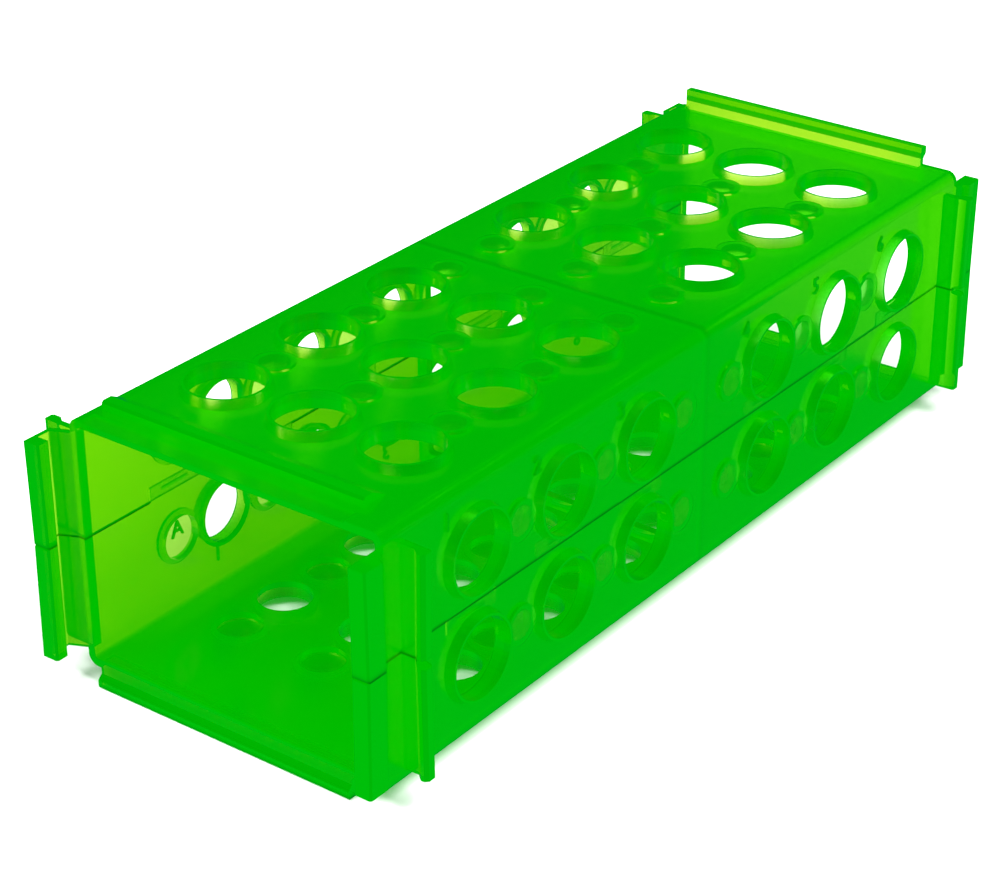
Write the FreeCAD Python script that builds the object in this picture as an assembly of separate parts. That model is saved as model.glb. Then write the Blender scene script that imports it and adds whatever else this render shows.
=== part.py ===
import FreeCAD, Part
import os

from FreeCAD import Vector

# Four-way tube rack: an open-ended rectangular tube moulded as two halves.
# X runs along the rack, the face with the 12 wall holes nearest the viewer
# is -Y, +Z is up, and the origin is the bottom centre. Sizes are in mm.

# body
body_length = 210.0
body_width = 77.0
body_height = 55.4
wall = 1.8
edge_radius = 2.4
inner_radius = 0.9
stand_height = 4.3
seam_height = 33.1
rib_width = 2.0
rib_depth = 2.6

# holes for tubes, one size in each of the four faces
top_hole = 16.6
front_hole = 17.0
back_hole = 13.8
bottom_hole = 11.8
collar_foot = 1.2
collar_rim = 0.6
collar_rise = 2.0
column_pitch = 28.0
row_pitch = 22.0
plate_gap = 44.6
rows_across = 3
columns_each_side = 3
wall_column_pitch = 27.8
wall_gap = 45.6
wall_row_spread = 23.0
wall_row_centre = 33.0

# blind cups that hold the round bottoms of the opposite face's tubes
wide_cup = 9.6
narrow_cup = 6.4
cup_depth = 1.9
cup_floor = 0.6
cup_wall = 1.2

# lap joint along the seam
tongue_length = 15.0
tongue_height = 3.2
tongue_thickness = 0.85
joint_clearance = 0.12
snap_height = 0.3
snap_width = 0.9
tongue_places = (-79.0, -51.0, -23.0, 23.0, 51.0, 79.0)

# rails that join one rack to the next
rail_reach = 7.3
rail_end_margin = 3.6
rail_flare = 0.3
rail_corner = 0.4
rail_notch = 0.45
lip_thickness = 3.8
lip_length = 5.1
lip_root = 1.9
hook_root = 4.5
hook_root_width = 1.7
hook_tip_width = 2.8
hook_overhang = 1.3
hook_height = 6.2
hook_bead = 1.5
hook_notch_depth = 2.3
hook_notch_height = 2.4
bar_length = 2.5
bar_thickness = 3.8
bar_stand_off = 4.8
neck_thickness = 1.1
neck_length = 3.0
web_foot = 1.4
fin_place = 1.3
fin_width = 1.5
fin_height = 8.1
fin_bead = 1.0
fin_bead_height = 2.2
fin_bead_slope = 1.3

# flange and ridge across the plates at the ends
flange_thickness = 1.3
flange_bead = 1.1
flange_bead_height = 1.9
flange_bead_root = 1.3
flange_corner = 0.4
flange_centre = 2.9
flange_length = 64.8
ridge_place = 5.8
ridge_width = 6.4
ridge_crown = 2.1
ridge_corner = 0.5
ridge_height = 1.9
strip_width = 3.7
strip_step = 0.5

overcut = 1.0
half_length = body_length / 2
half_width = body_width / 2
plate_top = stand_height + body_height
centre_height = stand_height + body_height / 2


def box(x_range, y_range, z_range):
    size = [pair[1] - pair[0] for pair in (x_range, y_range, z_range)]
    return Part.makeBox(*size, Vector(x_range[0], y_range[0], z_range[0]))


def outline(points, place):
    corners = [place(*point) for point in points]
    return Part.makePolygon(corners + corners[:1])


def rounded_bar(y_half, z_range, radius, x_half):
    bar = box((-x_half, x_half), (-y_half, y_half), z_range)
    edges = [edge for edge in bar.Edges if edge.BoundBox.XLength > x_half]
    return bar.makeFillet(radius, edges)


def body_shell():
    outer = rounded_bar(half_width, (stand_height, plate_top), edge_radius, half_length)
    inside = (stand_height + wall, plate_top - wall)
    room = rounded_bar(half_width - wall, inside, inner_radius, half_length + overcut)
    return outer.cut(room)


def middle_rib():
    inside = (stand_height + wall, plate_top - wall)
    rim = rounded_bar(half_width - wall, inside, inner_radius, rib_width / 2)
    low, high = inside
    clear_width = half_width - wall - rib_depth
    clear = (low + rib_depth, high - rib_depth)
    return rim.cut(rounded_bar(clear_width, clear, inner_radius, rib_width))


def disc(radius, low, high):
    return Part.makeCylinder(radius, high - low, Vector(0, 0, low))


def collar_form(diameter):
    # forms are drawn with the plate's outer face on the plane z = 0, outwards is +z
    rim = diameter / 2 + collar_rim
    taper = (collar_foot - collar_rim) / collar_rise
    buried = rim + taper * (collar_rise + wall)
    return Part.makeCone(buried, rim, wall + collar_rise, Vector(0, 0, -wall))


def bore_form(diameter):
    return disc(diameter / 2, -wall - overcut, collar_rise + overcut)


def cup_shell(diameter):
    return disc(diameter / 2 + cup_wall, -wall, cup_depth + cup_floor - wall)


def cup_hollow(diameter):
    return disc(diameter / 2, -wall - overcut, cup_depth - wall)


def columns(gap, pitch, offset):
    first = gap / 2
    places = [first + index * pitch for index in range(columns_each_side)]
    return [side * (place - offset) for side in (-1, 1) for place in places]


def plate_spots(offset):
    rows = [(index - (rows_across - 1) / 2) * row_pitch for index in range(rows_across)]
    return [(x, y) for x in columns(plate_gap, column_pitch, offset) for y in rows]


def wall_spots(offset, side):
    height = wall_row_centre + side * wall_row_spread / 2
    return [(x, height) for x in columns(wall_gap, wall_column_pitch, offset)]


def on_top(form, spot):
    return form.translated(Vector(spot[0], spot[1], plate_top))


def on_bottom(form, spot):
    turned = form.rotated(Vector(), Vector(1, 0, 0), 180)
    return turned.translated(Vector(spot[0], spot[1], stand_height))


def on_front(form, spot):
    turned = form.rotated(Vector(), Vector(1, 0, 0), 90)
    return turned.translated(Vector(spot[0], -half_width, spot[1]))


def on_back(form, spot):
    turned = form.rotated(Vector(), Vector(1, 0, 0), -90)
    return turned.translated(Vector(spot[0], half_width, spot[1]))


def feature_set(side):
    # every face has cups between its holes, opposite the holes of the face across
    step = column_pitch / 2
    wall_step = wall_column_pitch / 2
    wide_spots, inner_spots = plate_spots(0), plate_spots(step)
    front_spots, back_spots = wall_spots(0, side), wall_spots(wall_step, side)
    if side > 0:
        holes = [(on_top, wide_spots, top_hole)]
        cups = [(on_top, inner_spots, narrow_cup)]
    else:
        holes = [(on_bottom, inner_spots, bottom_hole)]
        cups = [(on_bottom, wide_spots, wide_cup)]
    holes += [(on_front, front_spots, front_hole), (on_back, back_spots, back_hole)]
    cups += [(on_front, back_spots, narrow_cup), (on_back, front_spots, wide_cup)]
    return holes, cups


def spread(form, groups):
    return [place(form(size), spot) for place, spots, size in groups for spot in spots]


def add_holes(half, side):
    holes, cups = feature_set(side)
    half = half.fuse(spread(collar_form, holes) + spread(cup_shell, cups))
    return half.cut(spread(bore_form, holes) + spread(cup_hollow, cups))


def rail_ends(side):
    # from the seam to the rail's free end
    reach = body_height / 2 - rail_end_margin
    return seam_height, centre_height + side * reach


def drawn_rail(section, side):
    seam_end, free_end = rail_ends(side)
    wires = []
    for height, flare in ((seam_end, 0), (free_end, rail_flare)):
        wires.append(outline(section(flare), lambda x, y: Vector(x, y, height)))
    return Part.makeLoft(wires, True, True)


def lip_section(flare):
    # thick end of the -Y wall, level with its inner face
    tip = -half_length - rail_reach - flare
    face = -half_width
    inner = face + wall
    outer = inner - lip_thickness
    slope = tip + lip_length
    slope_run = -half_length - slope
    step = face - outer
    return [(tip, inner), (tip, outer + rail_corner), (tip + rail_corner, outer),
            (slope, outer), (slope + slope_run / 4, face - step / 3),
            (-half_length, face), (-half_length + lip_root, face + wall / 2),
            (-half_length + lip_root, inner)]


def hook_section(flare):
    # thin leg that ends in a bead turned to the rack's open end
    root = -half_length + hook_root
    back = root + hook_root_width
    face = -half_width
    tip = face - hook_height - flare
    front = root - hook_overhang
    side = front + hook_tip_width
    return [(root, face + wall / 2), (root, tip + 2 * hook_bead),
            (front, tip + hook_bead), (front, tip + hook_bead / 2),
            (front + hook_bead / 2, tip), (side - rail_corner, tip),
            (side, tip + rail_corner), (back, face), (back, face + wall / 2)]


def bar_section(flare):
    # thin neck and thick bar that stand outside the +Y wall
    tip = -half_length - rail_reach - flare
    outer = half_width + bar_stand_off
    inner = outer - bar_thickness
    neck_start = -half_length - rail_reach + bar_length
    neck_end = neck_start + neck_length
    foot = -half_length + web_foot
    return [(tip, outer), (tip, inner + rail_corner), (tip + rail_corner, inner),
            (neck_start, inner), (neck_start, outer - neck_thickness),
            (neck_end, outer - neck_thickness), (-half_length, half_width),
            (-half_length, half_width - wall / 2), (foot, half_width - wall / 2),
            (foot, half_width), (neck_end + neck_thickness, outer)]


def fin_section(flare):
    # straight leg that ends in a bead turned away from the rack's open end
    root = -half_length + fin_place
    back = root + fin_width
    bead = back + fin_bead
    tip = half_width + fin_height + flare
    bead_foot = tip - fin_bead_height
    return [(root, tip - rail_corner), (root, half_width - wall / 2),
            (back, half_width - wall / 2), (back, bead_foot - fin_bead_slope),
            (bead, bead_foot), (bead, tip - rail_corner),
            (bead - rail_corner, tip), (root + rail_corner, tip)]


def tip_notch():
    # small V across the tips of lip and bar where the halves meet
    size = rail_notch
    tip = -half_length - rail_reach
    points = [(tip - size, -size), (tip + size, 0), (tip - size, size)]
    wedge = Part.Face(outline(points, lambda x, z: Vector(x, -body_width, seam_height + z)))
    return wedge.extrude(Vector(0, 2 * body_width, 0))


def hook_notch():
    # gap in the hook's bead where the halves meet
    outside = -half_width - hook_height - overcut
    deep = -half_width - hook_height + hook_notch_depth
    wide, narrow = hook_notch_height / 2, hook_notch_height / 4
    points = [(outside, -wide), (deep, -narrow), (deep, narrow), (outside, wide)]
    face = Part.Face(outline(points, lambda y, z: Vector(-body_length, y, seam_height + z)))
    return face.extrude(Vector(2 * body_length, 0, 0))


def rails(side):
    # the two ends mirror each other
    near = [drawn_rail(lip_section, side).cut(tip_notch()),
            drawn_rail(hook_section, side).cut(hook_notch()),
            drawn_rail(bar_section, side).cut(tip_notch()),
            drawn_rail(fin_section, side)]
    far = [rail.mirror(Vector(), Vector(1, 0, 0)) for rail in near]
    return near + far


def cross_bar(points):
    # a section in X and Z drawn out along Y across the plate
    start = flange_centre - flange_length / 2
    face = Part.Face(outline(points, lambda x, z: Vector(x, start, z)))
    return face.extrude(Vector(0, flange_length, 0))


def flange():
    end, foot = half_length, plate_top
    tip = foot + stand_height
    bead = end + flange_bead
    back = end - flange_thickness
    return cross_bar([(back, foot - wall / 2), (back, tip), (bead - flange_corner, tip),
                      (bead, tip - flange_corner), (bead, tip - flange_bead_height),
                      (end, foot + flange_bead_root), (end, foot - wall / 2)])


def ridge():
    # steep towards the open end, sloping down to the plate behind
    start = -half_length + ridge_place
    end = start + ridge_width
    foot, top = plate_top, plate_top + ridge_height
    crown = start + ridge_corner
    return cross_bar([(start, foot - wall / 2), (start, top - ridge_corner), (crown, top),
                      (crown + ridge_crown, top), (end, foot), (end, foot - wall / 2)])


def end_strips():
    # the plate is a little lower beside its two open ends
    start = flange_centre - flange_length / 2
    inner = half_length - strip_width
    strip = box((inner, half_length + overcut), (start, start + flange_length),
                (plate_top - strip_step, plate_top + overcut))
    return [strip, strip.mirror(Vector(), Vector(1, 0, 0))]


def turned_about_y(shape):
    middle = Vector(0, 0, centre_height)
    return shape.rotated(middle, Vector(0, 1, 0), 180)


def add_cross_features(half, side):
    adding, cutting = [flange(), ridge()], end_strips()
    if side < 0:
        adding = [turned_about_y(shape) for shape in adding]
        cutting = [turned_about_y(shape) for shape in cutting]
    return half.cut(cutting).fuse(adding)


def tongue(place, side, clearance):
    # a strip on the wall's inner side that laps over the other half
    half_tongue = tongue_length / 2 + clearance
    inner = half_width - wall
    outer = inner + tongue_thickness + clearance
    reach = tongue_height + clearance
    anchor = seam_height - side * tongue_height
    tip = seam_height + side * reach
    low, high = sorted((anchor, tip))
    strip = box((place - half_tongue, place + half_tongue), (inner, outer), (low, high))
    return strip.fuse(snap_bead(place, side, clearance))


def snap_bead(place, side, clearance):
    # rounded bead on the tongue's outer face
    base = half_width - wall + tongue_thickness
    height = seam_height + side * tongue_height / 2
    rise = snap_height + clearance
    points = [(base - tongue_thickness / 2, height - snap_width / 2 - clearance),
              (base, height - snap_width / 2 - clearance),
              (base + rise, height),
              (base, height + snap_width / 2 + clearance),
              (base - tongue_thickness / 2, height + snap_width / 2 + clearance)]
    start = place - tongue_length / 4 - clearance
    face = Part.Face(outline(points, lambda y, z: Vector(start, y, z)))
    return face.extrude(Vector(tongue_length / 2 + 2 * clearance, 0, 0))


def seam_tongues(side, clearance):
    # tongues rise and fall by turns along the seam, and the back wall's are turned round
    shapes = []
    for index, place in enumerate(tongue_places):
        rises = index % 2 == 0
        if rises == (side > 0):
            strip = tongue(place, side, clearance)
            shapes.append(strip)
            shapes.append(strip.rotated(Vector(), Vector(0, 0, 1), 180))
    return shapes


def half_rack(side):
    # side is +1 for the upper half and -1 for the lower one
    span = (seam_height, plate_top + overcut)
    if side < 0:
        span = (stand_height - overcut, seam_height)
    keep = box((-body_length, body_length), (-body_width, body_width), span)
    half = body_shell().fuse(middle_rib()).common(keep)
    half = add_cross_features(half, side)
    half = half.fuse(rails(side))
    half = add_holes(half, side)
    half = half.fuse(seam_tongues(-side, 0))
    half = half.cut(seam_tongues(side, joint_clearance))
    return half.removeSplitter()


parts = {
    "upper_half": half_rack(1),
    "lower_half": half_rack(-1),
}

os.makedirs("parts", exist_ok=True)
for name, shape in parts.items():
    solids = shape.Solids
    print(name, len(solids), shape.isValid(), round(shape.Volume), shape.BoundBox)
    solids[0].exportStep("parts/" + name + ".step")
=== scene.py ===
import math

import bmesh
import bpy
from mathutils import Matrix, Vector


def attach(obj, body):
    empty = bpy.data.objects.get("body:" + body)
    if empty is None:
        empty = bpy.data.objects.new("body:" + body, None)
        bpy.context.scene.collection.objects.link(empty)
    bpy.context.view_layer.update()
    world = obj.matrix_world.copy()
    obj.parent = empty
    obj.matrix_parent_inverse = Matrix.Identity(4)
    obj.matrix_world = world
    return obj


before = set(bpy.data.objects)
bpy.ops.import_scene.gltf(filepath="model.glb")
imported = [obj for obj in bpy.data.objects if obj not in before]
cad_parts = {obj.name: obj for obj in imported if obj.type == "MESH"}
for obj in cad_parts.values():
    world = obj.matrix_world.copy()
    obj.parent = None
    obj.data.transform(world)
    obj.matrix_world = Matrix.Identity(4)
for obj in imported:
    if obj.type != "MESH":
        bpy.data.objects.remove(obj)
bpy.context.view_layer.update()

MM = 0.001

# view: the photograph's angle, from the open end with the bars on its left
VIEW_AZIMUTH = 53.056
VIEW_ELEVATION = 27.824
VIEW_ROLL = -0.179
VIEW_DISTANCE = 583.8 * MM
VIEW_RIGHT = -11.61 * MM
VIEW_UP = -9.77 * MM
LENS = 97.65
SENSOR = 36.0
RACK_CENTRE = Vector((0.0, 0.0, 31.8 * MM))

# light: a dim sky, and large lamps that only the floor takes up
SKY_WHITE = (1.0, 1.0, 1.0, 1.0)
SKY_LEVEL = 0.3
SKY_GLOSS = (0.0, 0.15, 0.01, 1.0)
LAMP_SIZE = 0.8
LAMPS = (("key", (-0.1, -0.95, 1.35), 40.0),
         ("fill", (-0.95, 0.15, 1.35), 32.0))

FLOOR_SIZE = 6.0
FLOOR_WHITE = (0.93, 0.93, 0.93, 1.0)
FLOOR_ROUGHNESS = 0.9
FLOOR_GLOSS = (0.0, 0.15, 0.05, 1.0)

# plastic: surface
PLASTIC_IOR = 1.5
PLASTIC_ROUGHNESS = (0.1, 0.18)
GRAIN_SCALE = 160.0
GRAIN_DETAIL = 3.0
FLOW_SCALE = 45.0
FLOW_DETAIL = 1.0
FLOW_STRENGTH = 0.12
FLOW_DEPTH = 0.05 * MM

# plastic: dye, as red, green and blue taken out on each millimetre, and green given back as
# painted light, a steady glow on each millimetre in place of the dye's fluorescence under the
# lamps
ABSORB_PER_MM = (1.0, 0.9, 3.0)
GLOW_PER_MM = 0.5
MARK_ABSORB_PER_MM = (6.0, 3.0, 9.0)
MARK_GLOW_PER_MM = 1.5
GLOW_GREEN = (0.0, 1.0, 0.0, 1.0)

# plastic: painted shade tints, and the distances over which they set in
CLEAR = (1.0, 1.0, 1.0, 1.0)
# painted shade: level plates tinted a deeper green, standing in for the shaded floor seen
# through them
PAINTED_PLATE_SHADE = (0.15, 0.92, 0.05, 1.0)
# painted shade: front wall tinted a deeper, less yellow green, cutting the pale light that
# shows through it and its cups
PAINTED_FRONT_SHADE = (0.3, 0.97, 0.7, 1.0)
# painted shadow: back wall tinted darker, for the shadowed floor behind the rack seen through
# it
PAINTED_BACK_SHADE = (0.7, 0.9, 0.6, 1.0)
WALL_REACH = (20.0 * MM, 36.0 * MM)
# painted shade: curved rim faces tinted darker, for the dark crescents around the holes
PAINTED_RIM_SHADE = (0.75, 0.8, 0.75, 1.0)
# painted shade: a darker line over the middle rib, stronger on the level plates
PAINTED_RIB_SHADE = (0.8, 0.75, 0.8, 1.0)
RIB_REACH = (1.2 * MM, 0.5 * MM)
RIB_LEVEL = (-0.5, 1.0)
# painted shade: inner faces darker towards the middle of the box, where less light reaches
PAINTED_INSIDE_SHADE = (0.7, 0.75, 0.7, 1.0)
INSIDE_REACH = (-5.0 * MM, -20.0 * MM)
MIDDLE_REACH = (100.0 * MM, 60.0 * MM)

# raised index marks beside the holes; columns, shifts and heights in millimetres
MARK_SIZE = 5.3 * MM
MARK_RISE = 0.5 * MM
MARK_SUNK = 0.02 * MM
MARK_STEPS = 4
WALL_FACE = 38.5 * MM
CUP_FACE = 39.2 * MM
FRONT_COLUMNS = (-78.4, -50.6, -22.8, 22.8, 50.6, 78.4)
FRONT_MARK_SHIFT = -8.45
FRONT_MARK_HEIGHT = 53.9
BACK_COLUMNS = (-64.5, -36.7, -8.9, 8.9, 36.7, 64.5)
BACK_MARK_SHIFT = -2.6
BACK_MARK_HEIGHT = 12.1
CUP_MARK = ("A", -77.2, CUP_FACE, 22.1)


def placed(name, data):
    piece = bpy.data.objects.new(name, data)
    bpy.context.scene.collection.objects.link(piece)
    return piece


def new_material(name):
    material = bpy.data.materials.new(name)
    material.use_nodes = True
    return material, material.node_tree.nodes, material.node_tree.links


def feed(links, socket, value):
    if isinstance(value, bpy.types.NodeSocket):
        links.new(value, socket)
    else:
        socket.default_value = value


def worked_out(nodes, links, operation, first, second=0.0):
    node = nodes.new("ShaderNodeMath")
    node.operation = operation
    feed(links, node.inputs[0], first)
    feed(links, node.inputs[1], second)
    return node.outputs[0]


def ramp(nodes, links, value, start, end):
    # 0 before start, 1 past end
    node = nodes.new("ShaderNodeMapRange")
    node.inputs["From Min"].default_value = start
    node.inputs["From Max"].default_value = end
    links.new(value, node.inputs[0])
    return node.outputs[0]


def tinted(nodes, links, colour, factor, tint):
    node = nodes.new("ShaderNodeMix")
    node.data_type = "RGBA"
    node.blend_type = "MULTIPLY"
    feed(links, node.inputs["A"], colour)
    links.new(factor, node.inputs["Factor"])
    node.inputs["B"].default_value = tint
    return node.outputs["Result"]


def noise(nodes, links, place, scale, detail):
    node = nodes.new("ShaderNodeTexNoise")
    node.inputs["Scale"].default_value = scale
    node.inputs["Detail"].default_value = detail
    links.new(place.outputs["Object"], node.inputs["Vector"])
    return node.outputs[0]


def tinted_volume(nodes, links, absorb_per_mm, glow_per_mm):
    # the dye takes out red and blue; the green shine is painted light, a steady glow in place
    # of the dye's fluorescence
    density = max(absorb_per_mm) / MM
    absorb = nodes.new("ShaderNodeVolumeAbsorption")
    absorb.inputs["Density"].default_value = density
    tint = [1.0 - value / MM / density for value in absorb_per_mm]
    absorb.inputs["Color"].default_value = (*tint, 1.0)
    glow = nodes.new("ShaderNodeEmission")
    glow.inputs["Strength"].default_value = glow_per_mm / MM
    glow.inputs["Color"].default_value = GLOW_GREEN
    both = nodes.new("ShaderNodeAddShader")
    links.new(absorb.outputs[0], both.inputs[0])
    links.new(glow.outputs[0], both.inputs[1])
    links.new(both.outputs[0], nodes["Material Output"].inputs["Volume"])


def moulded_surface(nodes, links, surface):
    # faint flow waves and uneven polish, as a moulding has
    place = nodes.new("ShaderNodeTexCoord")
    polish = nodes.new("ShaderNodeMapRange")
    polish.inputs["To Min"].default_value = PLASTIC_ROUGHNESS[0]
    polish.inputs["To Max"].default_value = PLASTIC_ROUGHNESS[1]
    bump = nodes.new("ShaderNodeBump")
    bump.inputs["Strength"].default_value = FLOW_STRENGTH
    bump.inputs["Distance"].default_value = FLOW_DEPTH
    links.new(noise(nodes, links, place, GRAIN_SCALE, GRAIN_DETAIL), polish.inputs[0])
    links.new(noise(nodes, links, place, FLOW_SCALE, FLOW_DETAIL), bump.inputs["Height"])
    links.new(polish.outputs[0], surface.inputs["Roughness"])
    links.new(bump.outputs[0], surface.inputs["Normal"])


def painted_shade_tint(nodes, links, surface):
    # painted shade: darker colour on the level plates, both walls, curved rims, over the
    # middle rib and on the inside
    face = nodes.new("ShaderNodeNewGeometry")
    normal = nodes.new("ShaderNodeSeparateXYZ")
    place = nodes.new("ShaderNodeSeparateXYZ")
    links.new(face.outputs["True Normal"], normal.inputs[0])
    links.new(face.outputs["Position"], place.inputs[0])

    def work(operation, first, second=0.0):
        return worked_out(nodes, links, operation, first, second)

    level = work("ABSOLUTE", normal.outputs["Z"])
    # painted shade masks for the front and back walls
    front = ramp(nodes, links, place.outputs["Y"], -WALL_REACH[0], -WALL_REACH[1])
    back = ramp(nodes, links, place.outputs["Y"], *WALL_REACH)
    along = work("ABSOLUTE", normal.outputs["X"])
    across = work("SQRT", work("SUBTRACT", 1.0, work("MULTIPLY", along, along)))
    # painted shade mask: curved rims around the holes
    curved = work("MULTIPLY", work("MULTIPLY", along, across), 2.0)

    # a face is an inner one where its outward side looks towards the middle of the box
    high = work("SUBTRACT", place.outputs["Z"], RACK_CENTRE.z)
    outward = work("ADD", work("MULTIPLY", place.outputs["Y"], normal.outputs["Y"]),
                   work("MULTIPLY", high, normal.outputs["Z"]))
    turned = work("SUBTRACT", 1.0, work("MULTIPLY", face.outputs["Backfacing"], 2.0))
    inner = ramp(nodes, links, work("MULTIPLY", outward, turned), *INSIDE_REACH)
    away = work("ABSOLUTE", place.outputs["X"])
    # painted shade mask: inner faces, growing towards the middle of the box
    inside = work("MULTIPLY", inner, ramp(nodes, links, away, *MIDDLE_REACH))
    # painted shade mask: a narrow band over the middle rib
    rib = work("MULTIPLY", ramp(nodes, links, away, *RIB_REACH),
               ramp(nodes, links, level, *RIB_LEVEL))

    # each painted shade tint is multiplied into the plastic's colour where its mask holds
    colour = CLEAR
    for factor, tint in ((level, PAINTED_PLATE_SHADE), (front, PAINTED_FRONT_SHADE), (back, PAINTED_BACK_SHADE),
                         (curved, PAINTED_RIM_SHADE), (rib, PAINTED_RIB_SHADE), (inside, PAINTED_INSIDE_SHADE)):
        colour = tinted(nodes, links, colour, factor, tint)
    links.new(colour, surface.inputs["Base Color"])


def clear_plastic(name, absorb_per_mm, glow_per_mm):
    material, nodes, links = new_material(name)
    surface = nodes["Principled BSDF"]
    surface.inputs["IOR"].default_value = PLASTIC_IOR
    surface.inputs["Transmission Weight"].default_value = 1.0
    painted_shade_tint(nodes, links, surface)
    moulded_surface(nodes, links, surface)
    tinted_volume(nodes, links, absorb_per_mm, glow_per_mm)
    return material


def dimmed_in_mirrors(nodes, links, seen, mirrored, output):
    # what shiny faces mirror is darker and cooler than what is seen directly
    path = nodes.new("ShaderNodeLightPath")
    in_mirror = worked_out(nodes, links, "MULTIPLY",
                           path.outputs["Is Reflection Ray"], path.outputs["Is Glossy Ray"])
    mix = nodes.new("ShaderNodeMixShader")
    links.new(in_mirror, mix.inputs[0])
    links.new(seen.outputs[0], mix.inputs[1])
    links.new(mirrored.outputs[0], mix.inputs[2])
    links.new(mix.outputs[0], output.inputs["Surface"])


def matt_white():
    material, nodes, links = new_material("floor_white")
    surface = nodes["Principled BSDF"]
    surface.inputs["Base Color"].default_value = FLOOR_WHITE
    surface.inputs["Roughness"].default_value = FLOOR_ROUGHNESS
    surface.inputs["Specular IOR Level"].default_value = 0.0
    dim = nodes.new("ShaderNodeEmission")
    dim.inputs["Color"].default_value = FLOOR_GLOSS
    dimmed_in_mirrors(nodes, links, surface, dim, nodes["Material Output"])
    return material


def add_floor():
    half = FLOOR_SIZE / 2
    corners = [(-half, -half, 0), (half, -half, 0), (half, half, 0), (-half, half, 0)]
    mesh = bpy.data.meshes.new("floor")
    mesh.from_pydata(corners, [], [(0, 1, 2, 3)])
    floor = placed("floor", mesh)
    mesh.materials.append(matt_white())


def add_sky():
    world = bpy.data.worlds.new("studio")
    world.use_nodes = True
    bpy.context.scene.world = world
    nodes, links = world.node_tree.nodes, world.node_tree.links
    sky = nodes["Background"]
    sky.inputs["Color"].default_value = SKY_WHITE
    sky.inputs["Strength"].default_value = SKY_LEVEL
    dim = nodes.new("ShaderNodeBackground")
    dim.inputs["Color"].default_value = SKY_GLOSS
    dimmed_in_mirrors(nodes, links, sky, dim, nodes["World Output"])


def add_lamp(name, place, power):
    light = bpy.data.lights.new(name, "AREA")
    light.shape = "RECTANGLE"
    light.size = light.size_y = LAMP_SIZE
    light.energy = power
    lamp = placed(name, light)
    lamp.location = place
    aim = RACK_CENTRE - lamp.location
    lamp.rotation_euler = aim.to_track_quat("-Z", "Y").to_euler()
    lamp.visible_glossy = False
    lamp.visible_transmission = False


def add_camera():
    azimuth, elevation, roll = map(math.radians, (VIEW_AZIMUTH, VIEW_ELEVATION, VIEW_ROLL))
    level = Vector((math.sin(azimuth), math.cos(azimuth), 0.0))
    forward = level * math.cos(elevation) - Vector((0, 0, math.sin(elevation)))
    right = Vector((math.cos(azimuth), -math.sin(azimuth), 0.0))
    up = right.cross(forward)
    turned_right = right * math.cos(roll) + up * math.sin(roll)
    turned_up = up * math.cos(roll) - right * math.sin(roll)
    aside = turned_right * VIEW_RIGHT + turned_up * VIEW_UP
    place = RACK_CENTRE - forward * VIEW_DISTANCE + aside

    camera = bpy.data.cameras.new("view")
    camera.lens = LENS
    camera.sensor_fit = "HORIZONTAL"
    camera.sensor_width = SENSOR
    eye = placed("view", camera)
    turn = Matrix((turned_right, turned_up, -forward)).transposed()
    eye.matrix_world = Matrix.Translation(place) @ turn.to_4x4()
    bpy.context.scene.camera = eye


def dress_nodes():
    plastic = clear_plastic("green_plastic", ABSORB_PER_MM, GLOW_PER_MM)
    for name in ("upper_half", "lower_half"):
        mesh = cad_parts[name].data
        mesh.materials.clear()
        mesh.materials.append(plastic)


def character(text):
    curve = bpy.data.curves.new("mark", "FONT")
    curve.body = text
    curve.size = MARK_SIZE
    curve.extrude = MARK_RISE / 2
    curve.resolution_u = MARK_STEPS
    curve.align_x = "CENTER"
    curve.align_y = "CENTER"
    writer = placed("mark", curve)
    view = bpy.context.evaluated_depsgraph_get()
    mesh = bpy.data.meshes.new_from_object(writer.evaluated_get(view))
    bpy.data.objects.remove(writer)
    return mesh


def numbers(columns, shift, height):
    # one number for each column of holes, on the outside of the wall
    return [(str(index + 1), column + shift, WALL_FACE, height)
            for index, column in enumerate(columns)]


def add_marks(name, side, marks):
    turn = Matrix.Rotation(math.radians(90), 4, "X")
    if side > 0:
        turn = Matrix.Rotation(math.radians(180), 4, "Z") @ turn
    form = bmesh.new()
    for text, along, face, height in marks:
        mesh = character(text)
        lift = face + MARK_RISE / 2 - MARK_SUNK
        place = Vector((along * MM, side * lift, height * MM))
        mesh.transform(Matrix.Translation(place) @ turn)
        form.from_mesh(mesh)
        bpy.data.meshes.remove(mesh)
    bmesh.ops.remove_doubles(form, verts=form.verts, dist=MARK_SUNK / 10)
    mesh = bpy.data.meshes.new(name)
    form.to_mesh(mesh)
    form.free()
    piece = placed(name, mesh)
    mesh.materials.append(clear_plastic(name, MARK_ABSORB_PER_MM, MARK_GLOW_PER_MM))
    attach(piece, "root")


bpy.context.scene.view_settings.view_transform = "Standard"
add_camera()
add_sky()
for lamp in LAMPS:
    add_lamp(*lamp)
add_floor()
dress_nodes()
add_marks("front_marks", -1,
          numbers(FRONT_COLUMNS, FRONT_MARK_SHIFT, FRONT_MARK_HEIGHT))
add_marks("back_marks", 1,
          numbers(BACK_COLUMNS, BACK_MARK_SHIFT, BACK_MARK_HEIGHT) + [CUP_MARK])
